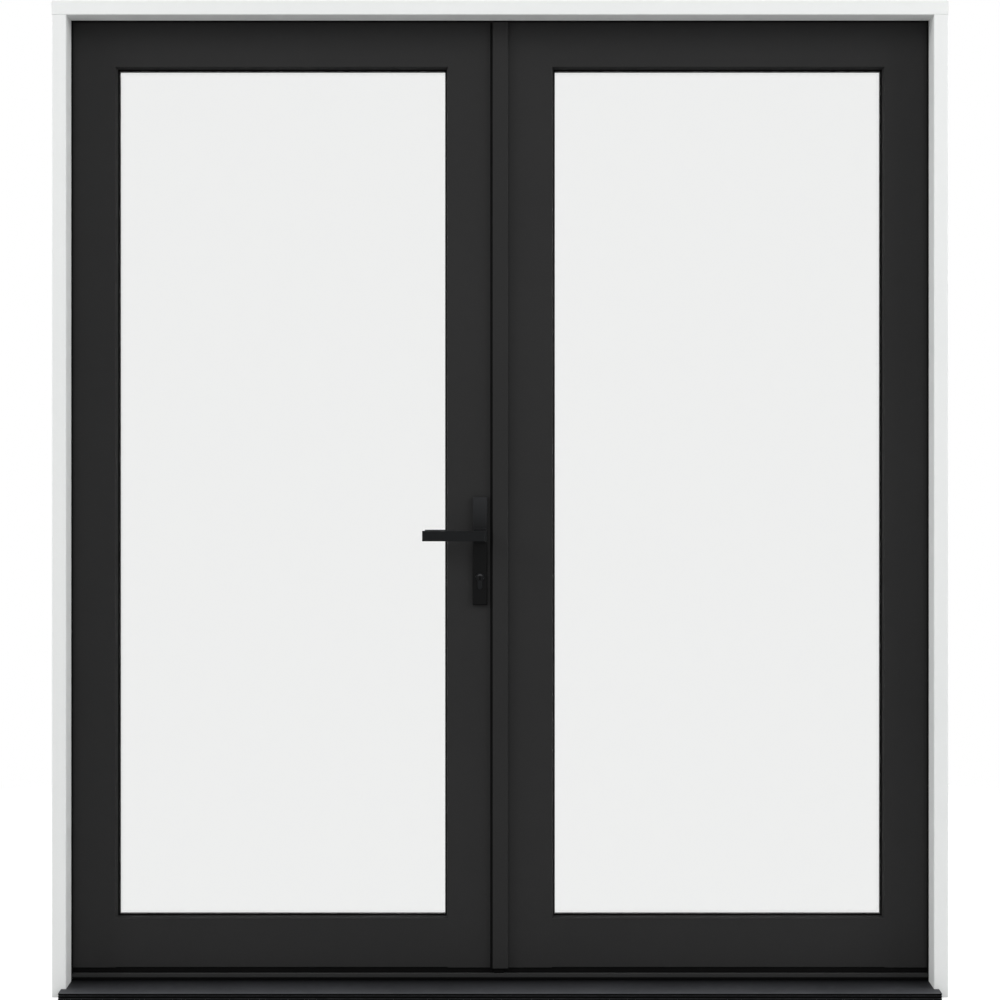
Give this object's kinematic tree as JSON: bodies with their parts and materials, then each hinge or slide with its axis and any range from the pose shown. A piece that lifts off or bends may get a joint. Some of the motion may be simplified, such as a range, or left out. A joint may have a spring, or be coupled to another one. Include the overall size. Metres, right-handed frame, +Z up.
{
  "type": "french doors",
  "caption": "Pair of glazed doors that open inwards in a white frame with a black sill; charcoal panels, an astragal over the meeting edge, and a lever with a lock on the active panel.",
  "frame": {"origin": "underside of the sill, in the middle of the frame's width and of the jambs' depth", "axes": "X to the right seen from outside, Y inwards, Z up"},
  "size_m": [1.816, 0.199, 2.019],
  "materials": {
    "frame_white": "satin white paint",
    "panel_charcoal": "satin charcoal paint",
    "astragal_charcoal": "satin charcoal paint",
    "sill_black": "black anodised, fine texture",
    "seal_black": "matte black",
    "glass": "clear float glass",
    "spacer_black": "black",
    "hinge_black": "satin black",
    "handle_black": "satin black",
    "lock_steel": "brushed"
  },
  "bodies": {
    "frame": {"head_jamb": "frame_white", "left_jamb": "frame_white", "right_jamb": "frame_white", "sill": "sill_black", "threshold": "sill_black", "head_seal": "seal_black", "left_seal": "seal_black", "right_seal": "seal_black", "left_top_frame_leaf": "hinge_black", "left_mid_frame_leaf": "hinge_black", "left_low_frame_leaf": "hinge_black", "right_top_frame_leaf": "hinge_black", "right_mid_frame_leaf": "hinge_black", "right_low_frame_leaf": "hinge_black", "left_hinge_pins": "hinge_black", "right_hinge_pins": "hinge_black"},
    "active_panel": {"active_hinge_stile": "panel_charcoal", "active_lock_stile": "panel_charcoal", "active_top_rail": "panel_charcoal", "active_bottom_rail": "panel_charcoal", "active_outer_pane": "glass", "active_inner_pane": "glass", "active_spacer": "spacer_black", "active_glazing_beads": "panel_charcoal", "active_gasket": "seal_black", "active_sweep": "seal_black", "left_top_panel_leaf": "hinge_black", "left_mid_panel_leaf": "hinge_black", "left_low_panel_leaf": "hinge_black", "lock_faceplate": "lock_steel", "lock_box": "lock_steel", "exterior_plate": "handle_black", "interior_plate": "handle_black", "key_cylinder": "handle_black"},
    "lever_set": {"exterior_lever": "handle_black", "interior_lever": "handle_black", "spindle": "lock_steel", "latch_follower": "lock_steel"},
    "latch": {"latch_bolt": "lock_steel"},
    "thumb_turn": {"thumb_turn": "handle_black"},
    "deadbolt": {"deadbolt": "lock_steel"},
    "passive_panel": {"passive_hinge_stile": "panel_charcoal", "passive_meeting_stile": "panel_charcoal", "passive_top_rail": "panel_charcoal", "passive_bottom_rail": "panel_charcoal", "passive_outer_pane": "glass", "passive_inner_pane": "glass", "passive_spacer": "spacer_black", "passive_glazing_beads": "panel_charcoal", "passive_gasket": "seal_black", "passive_sweep": "seal_black", "right_top_panel_leaf": "hinge_black", "right_mid_panel_leaf": "hinge_black", "right_low_panel_leaf": "hinge_black", "astragal": "astragal_charcoal", "astragal_seal": "seal_black", "strike_plate": "lock_steel", "flush_bolt_plates": "lock_steel"},
    "top_flush_bolt": {"top_flush_bolt": "lock_steel"},
    "bottom_flush_bolt": {"bottom_flush_bolt": "lock_steel"}
  },
  "joints": [
    {"name": "active_panel_swing", "type": "hinge", "parent": "frame", "child": "active_panel", "pos_m": [-0.8895, 0.065, 1], "axis": [0, 0, 1], "range_deg": [0, 110]},
    {"name": "passive_panel_swing", "type": "hinge", "parent": "frame", "child": "passive_panel", "pos_m": [0.8895, 0.065, 1], "axis": [0, 0, -1], "range_deg": [0, 110]},
    {"name": "lever_turn", "type": "hinge", "parent": "active_panel", "child": "lever_set", "pos_m": [-0.041, 0.0295, 0.934], "axis": [0, -1, 0], "range_deg": [0, 45], "stiffness_Nm_per_rad": 1, "springref_deg": -34.38},
    {"name": "latch_slide", "type": "slide", "parent": "active_panel", "child": "latch", "axis": [-1, 0, 0], "range_m": [0, 0.0121]},
    {"name": "thumb_turn_turn", "type": "hinge", "parent": "active_panel", "child": "thumb_turn", "pos_m": [-0.041, 0.05, 0.849], "axis": [0, 1, 0], "range_deg": [0, 90]},
    {"name": "deadbolt_slide", "type": "slide", "parent": "active_panel", "child": "deadbolt", "axis": [1, 0, 0], "range_m": [0, 0.0198]},
    {"name": "top_flush_bolt_slide", "type": "slide", "parent": "passive_panel", "child": "top_flush_bolt", "axis": [0, 0, 1], "range_m": [0, 0.016]},
    {"name": "bottom_flush_bolt_slide", "type": "slide", "parent": "passive_panel", "child": "bottom_flush_bolt", "axis": [0, 0, -1], "range_m": [0, 0.024]}
  ],
  "couplings": [
    {"joint": "latch_slide", "follows": "lever_turn", "m_per_rad": 0.01528},
    {"joint": "thumb_turn_turn", "follows": "deadbolt_slide", "rad_per_m": 79.3}
  ]
}
